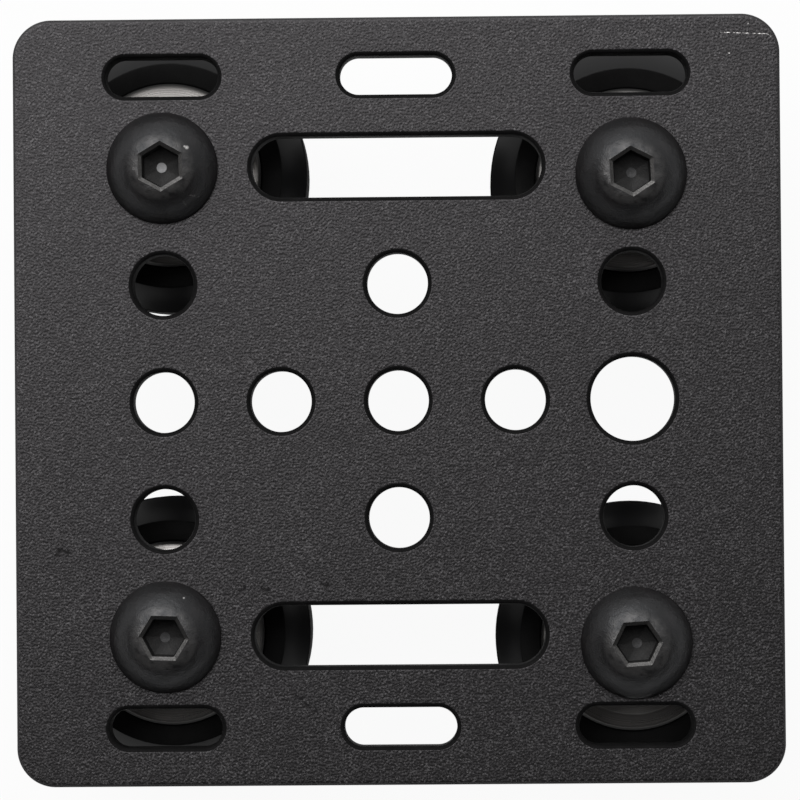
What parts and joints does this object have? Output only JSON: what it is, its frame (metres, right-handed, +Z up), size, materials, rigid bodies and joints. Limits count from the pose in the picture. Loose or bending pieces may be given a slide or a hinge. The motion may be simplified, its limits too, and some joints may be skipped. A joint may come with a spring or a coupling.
{
  "type": "gantry plate",
  "caption": "Square black gantry plate with screw holes and slots, carried on ball-bearing wheels below it that roll along a grooved rail, one side on eccentric spacers.",
  "frame": {"origin": "under the middle of the plate, in the plane of the screw ends that it stands on", "axes": "+Z up, out of the plate's top face; +Y along the rail to the rear; +X across the rail to the side of the eccentric spacers"},
  "size_m": [0.0654, 0.0654, 0.0278],
  "materials": {
    "plate_black": "black anodised, sand-blasted",
    "screw_steel": "black oxide on steel, satin",
    "spacer_aluminium": "turned, plain",
    "eccentric_steel": "turned and milled",
    "wheel_plastic": "black acetal, smooth",
    "bearing_steel": "ground",
    "ball_steel": "polished",
    "cage_steel": "pressed sheet",
    "shield_steel": "pressed sheet",
    "shim_steel": "plain",
    "nut_steel": "zinc plated",
    "insert_nylon": "nylon"
  },
  "bodies": {
    "plate": {"gantry_plate": "plate_black", "rear_left_spacer": "spacer_aluminium", "rear_left_screw": "screw_steel", "rear_left_upper_inner_ring": "bearing_steel", "rear_left_lower_inner_ring": "bearing_steel", "rear_left_shim": "shim_steel", "rear_left_lock_nut": "nut_steel", "rear_left_nut_insert": "insert_nylon", "front_left_spacer": "spacer_aluminium", "front_left_screw": "screw_steel", "front_left_upper_inner_ring": "bearing_steel", "front_left_lower_inner_ring": "bearing_steel", "front_left_shim": "shim_steel", "front_left_lock_nut": "nut_steel", "front_left_nut_insert": "insert_nylon"},
    "rear_left_wheel": {"rear_left_wheel": "wheel_plastic", "rear_left_upper_outer_ring": "bearing_steel", "rear_left_lower_outer_ring": "bearing_steel", "rear_left_shields": "shield_steel"},
    "rear_left_balls": {"rear_left_upper_balls": "ball_steel", "rear_left_lower_balls": "ball_steel", "rear_left_cages": "cage_steel"},
    "rear_right_eccentric": {"rear_right_eccentric_spacer": "eccentric_steel", "rear_right_screw": "screw_steel", "rear_right_upper_inner_ring": "bearing_steel", "rear_right_lower_inner_ring": "bearing_steel", "rear_right_shim": "shim_steel", "rear_right_lock_nut": "nut_steel", "rear_right_nut_insert": "insert_nylon"},
    "rear_right_wheel": {"rear_right_wheel": "wheel_plastic", "rear_right_upper_outer_ring": "bearing_steel", "rear_right_lower_outer_ring": "bearing_steel", "rear_right_shields": "shield_steel"},
    "rear_right_balls": {"rear_right_upper_balls": "ball_steel", "rear_right_lower_balls": "ball_steel", "rear_right_cages": "cage_steel"},
    "front_left_wheel": {"front_left_wheel": "wheel_plastic", "front_left_upper_outer_ring": "bearing_steel", "front_left_lower_outer_ring": "bearing_steel", "front_left_shields": "shield_steel"},
    "front_left_balls": {"front_left_upper_balls": "ball_steel", "front_left_lower_balls": "ball_steel", "front_left_cages": "cage_steel"},
    "front_right_eccentric": {"front_right_eccentric_spacer": "eccentric_steel", "front_right_screw": "screw_steel", "front_right_upper_inner_ring": "bearing_steel", "front_right_lower_inner_ring": "bearing_steel", "front_right_shim": "shim_steel", "front_right_lock_nut": "nut_steel", "front_right_nut_insert": "insert_nylon"},
    "front_right_wheel": {"front_right_wheel": "wheel_plastic", "front_right_upper_outer_ring": "bearing_steel", "front_right_lower_outer_ring": "bearing_steel", "front_right_shields": "shield_steel"},
    "front_right_balls": {"front_right_upper_balls": "ball_steel", "front_right_lower_balls": "ball_steel", "front_right_cages": "cage_steel"}
  },
  "joints": [
    {"name": "rear_left_wheel_spin", "type": "hinge", "parent": "plate", "child": "rear_left_wheel", "pos_m": [-0.02, 0.02, 0.0105], "axis": [0, 0, 1], "continuous": true},
    {"name": "rear_left_balls_spin", "type": "hinge", "parent": "plate", "child": "rear_left_balls", "pos_m": [-0.02, 0.02, 0.0105], "axis": [0, 0, 1], "continuous": true},
    {"name": "rear_right_eccentric_turn", "type": "hinge", "parent": "plate", "child": "rear_right_eccentric", "pos_m": [0.02, 0.02, 0.022], "axis": [0, 0, 1], "continuous": true},
    {"name": "rear_right_wheel_spin", "type": "hinge", "parent": "rear_right_eccentric", "child": "rear_right_wheel", "pos_m": [0.02, 0.01921, 0.0105], "axis": [0, 0, 1], "continuous": true},
    {"name": "rear_right_balls_spin", "type": "hinge", "parent": "rear_right_eccentric", "child": "rear_right_balls", "pos_m": [0.02, 0.01921, 0.0105], "axis": [0, 0, 1], "continuous": true},
    {"name": "front_left_wheel_spin", "type": "hinge", "parent": "plate", "child": "front_left_wheel", "pos_m": [-0.02, -0.02, 0.0105], "axis": [0, 0, 1], "continuous": true},
    {"name": "front_left_balls_spin", "type": "hinge", "parent": "plate", "child": "front_left_balls", "pos_m": [-0.02, -0.02, 0.0105], "axis": [0, 0, 1], "continuous": true},
    {"name": "front_right_eccentric_turn", "type": "hinge", "parent": "plate", "child": "front_right_eccentric", "pos_m": [0.02, -0.02, 0.022], "axis": [0, 0, 1], "continuous": true},
    {"name": "front_right_wheel_spin", "type": "hinge", "parent": "front_right_eccentric", "child": "front_right_wheel", "pos_m": [0.02012, -0.02078, 0.0105], "axis": [0, 0, 1], "continuous": true},
    {"name": "front_right_balls_spin", "type": "hinge", "parent": "front_right_eccentric", "child": "front_right_balls", "pos_m": [0.02012, -0.02078, 0.0105], "axis": [0, 0, 1], "continuous": true}
  ],
  "couplings": [
    {"joint": "rear_left_balls_spin", "follows": "rear_left_wheel_spin", "ratio": 0.63229},
    {"joint": "rear_right_balls_spin", "follows": "rear_right_wheel_spin", "ratio": 0.63229},
    {"joint": "front_left_balls_spin", "follows": "front_left_wheel_spin", "ratio": 0.63229},
    {"joint": "front_right_balls_spin", "follows": "front_right_wheel_spin", "ratio": 0.63229}
  ]
}
